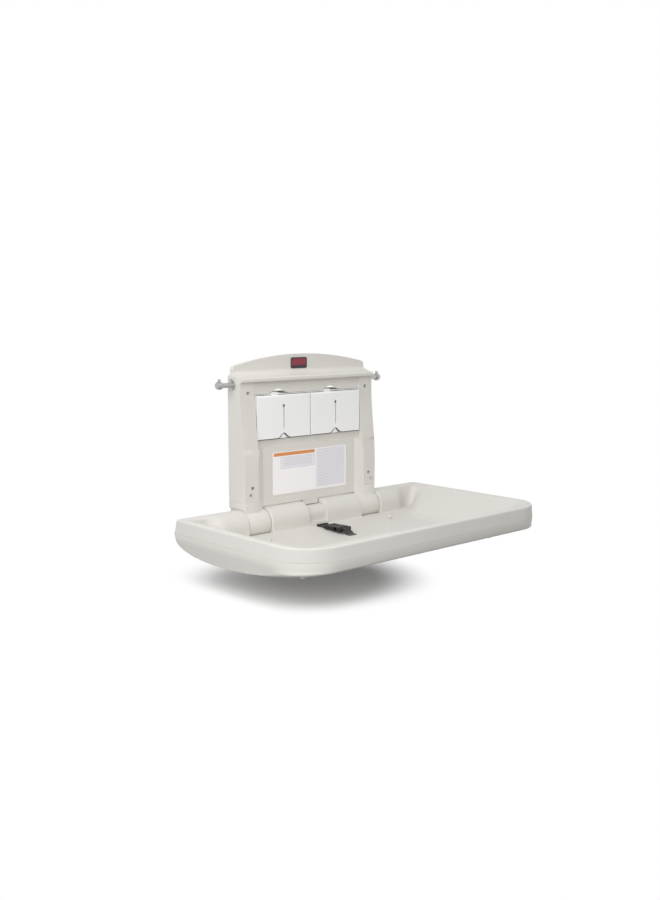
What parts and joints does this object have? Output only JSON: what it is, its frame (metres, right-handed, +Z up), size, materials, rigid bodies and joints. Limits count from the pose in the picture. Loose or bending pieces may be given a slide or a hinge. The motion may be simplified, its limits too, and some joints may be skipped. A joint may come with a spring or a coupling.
{
  "type": "changing table",
  "caption": "Horizontal fold-down changing table for a wall: moulded bed with raised rim and safety strap, wall unit with liner bins, bag hooks and hidden steel hinges.",
  "frame": {"origin": "On the wall plane, in the middle of the rectangle of the four wall bolts", "axes": "+X along the wall to the viewer's right, +Y into the wall, so the bed reaches towards -Y, +Z up. Drawn with the bed open"},
  "size_m": [0.845, 0.508, 0.4718],
  "materials": {
    "bracket_steel": "zinc plated, satin",
    "housing_plastic": "fine moulded texture",
    "hook_metal": "brushed",
    "label": "semi-gloss film, blank",
    "badge": "satin, blank",
    "bin_plastic": "satin",
    "bed_plastic": "fine moulded texture",
    "shell_plastic": "fine moulded texture",
    "pin_steel": "turned",
    "bush_bronze": "sintered",
    "pad_rubber": "matt",
    "washer_steel": "ground",
    "webbing": "woven",
    "buckle_plastic": "satin"
  },
  "bodies": {
    "wall_unit": {"wall_bracket_left": "bracket_steel", "wall_bracket_right": "bracket_steel", "housing": "housing_plastic", "bag_hook_left": "hook_metal", "bag_hook_right": "hook_metal", "hook_nuts": "pin_steel", "placard": "label", "header_plate": "badge", "liner_tray_left": "bin_plastic", "liner_tray_right": "bin_plastic", "tray_screws": "pin_steel", "door_pins": "pin_steel", "hinge_bracket_left": "bracket_steel", "hinge_bracket_right": "bracket_steel", "bracket_rivets": "pin_steel", "hinge_bushes": "bush_bronze", "stop_pads": "pad_rubber", "hinge_cover_left": "housing_plastic", "hinge_cover_right": "housing_plastic", "cover_screws": "pin_steel"},
    "bed": {"hinge_pin_left": "pin_steel", "hinge_pin_right": "pin_steel", "stop_cam_left": "bracket_steel", "stop_cam_right": "bracket_steel", "cam_dowels": "pin_steel", "friction_washers": "washer_steel", "retaining_rings": "pin_steel", "hinge_arm_left": "bracket_steel", "hinge_arm_right": "bracket_steel", "cross_brace": "bracket_steel", "brace_rivets": "pin_steel", "bed_tray": "bed_plastic", "bed_shell": "shell_plastic", "shell_screws": "pin_steel", "floor_bumpers": "bed_plastic", "strap_back": "webbing", "strap_front": "webbing", "strap_anchors": "pin_steel", "buckle_socket": "buckle_plastic"},
    "bin_door_left": {"liner_door_left": "bin_plastic"},
    "bin_door_right": {"liner_door_right": "bin_plastic"},
    "plug": {"buckle_plug": "buckle_plastic"},
    "slide": {"strap_slide": "buckle_plastic"}
  },
  "joints": [
    {"name": "bed_fold", "type": "hinge", "parent": "wall_unit", "child": "bed", "pos_m": [0, -0.042, -0.213], "axis": [1, 0, 0], "range_deg": [-90, 0]},
    {"name": "bin_door_left_tip", "type": "hinge", "parent": "wall_unit", "child": "bin_door_left", "pos_m": [-0.09, -0.041, 0.006], "axis": [1, 0, 0], "range_deg": [0, 38]},
    {"name": "bin_door_right_tip", "type": "hinge", "parent": "wall_unit", "child": "bin_door_right", "pos_m": [0.09, -0.041, 0.006], "axis": [1, 0, 0], "range_deg": [0, 38]},
    {"name": "buckle_release", "type": "slide", "parent": "bed", "child": "plug", "axis": [0, 1, 0], "range_m": [0, 0.018], "deforming": ["strap_back"]},
    {"name": "strap_keeper_slide", "type": "slide", "parent": "bed", "child": "slide", "axis": [0, 1, 0], "range_m": [-0.012, 0]}
  ]
}
